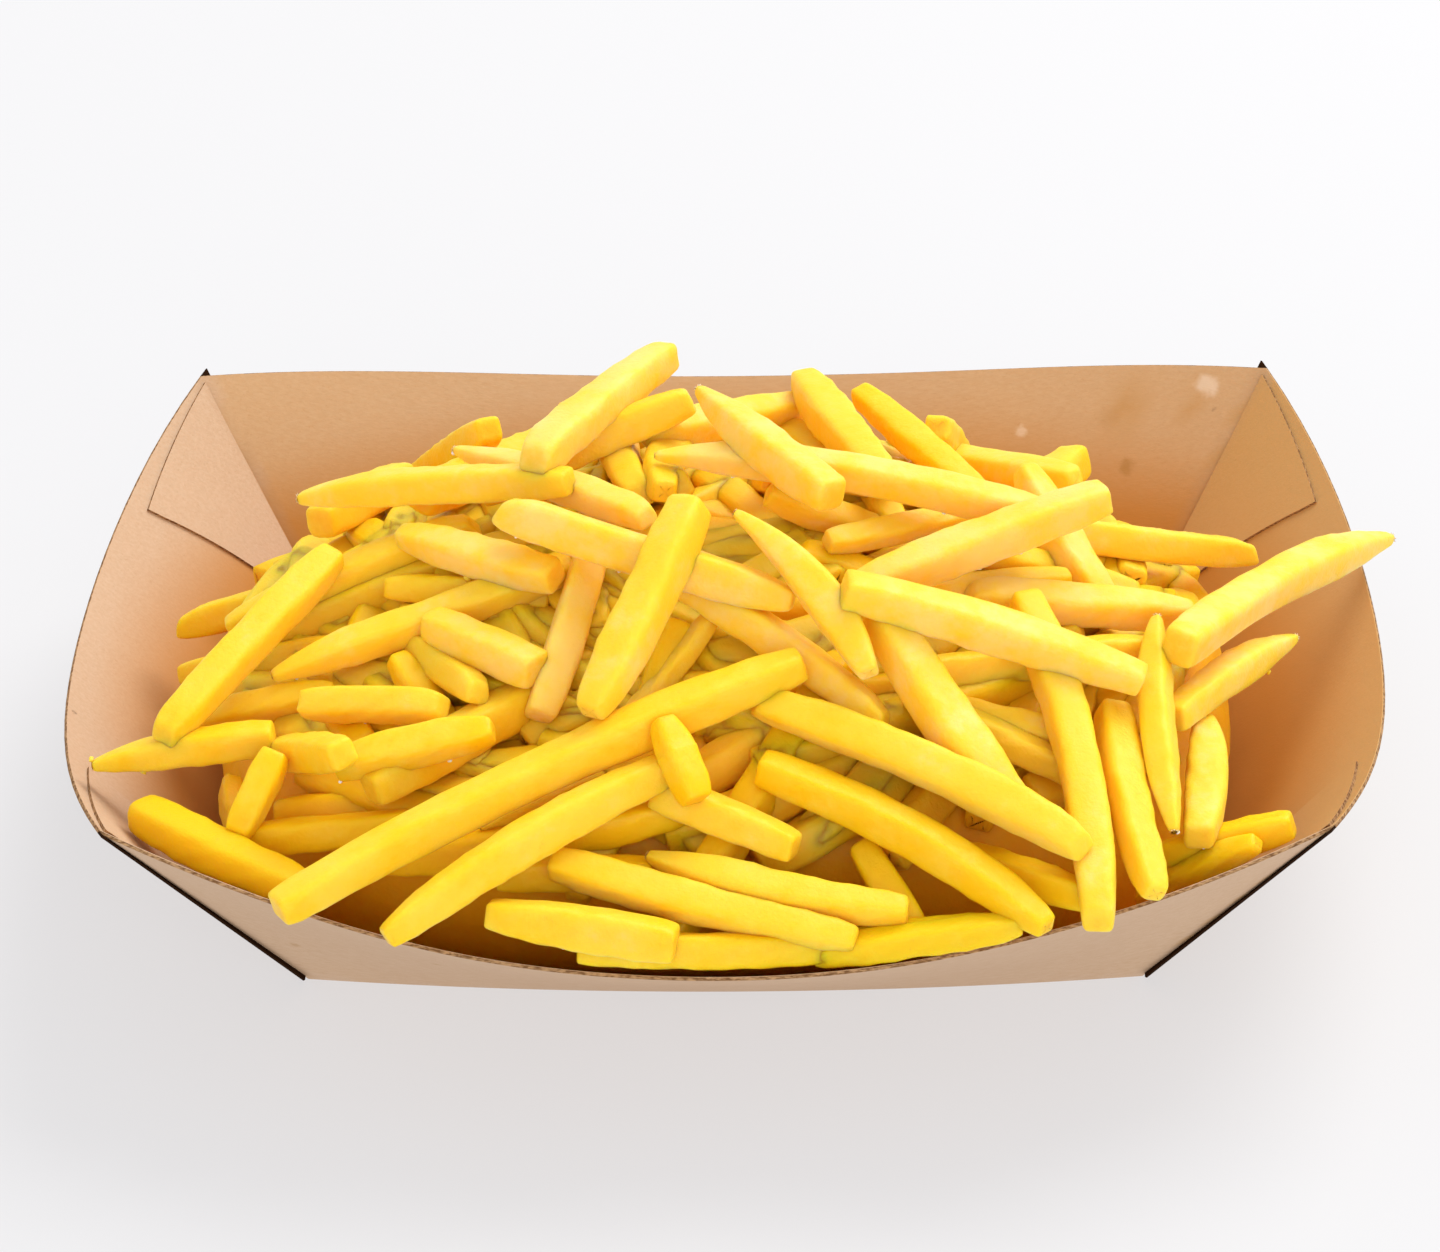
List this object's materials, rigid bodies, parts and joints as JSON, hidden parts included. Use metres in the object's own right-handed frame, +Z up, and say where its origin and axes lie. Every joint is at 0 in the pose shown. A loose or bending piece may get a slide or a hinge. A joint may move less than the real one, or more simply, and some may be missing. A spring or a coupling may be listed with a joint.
{
  "type": "french fries in a carton",
  "caption": "Loose heap of thin-cut french fries in an open tray of folded brown kraft board with bowed walls and glued corner flaps.",
  "frame": {"origin": "centre of the underside of the tray's base", "axes": "+X along the tray's length, to the right in the picture; +Y away from the viewer; +Z up"},
  "size_m": [0.2581, 0.2088, 0.0977],
  "materials": {
    "kraft_board": "matt uncoated brown kraft board, a little grease-stained inside",
    "fried_potato": null
  },
  "bodies": {
    "root": {"carton": "kraft_board", "fries": "fried_potato"}
  },
  "joints": []
}
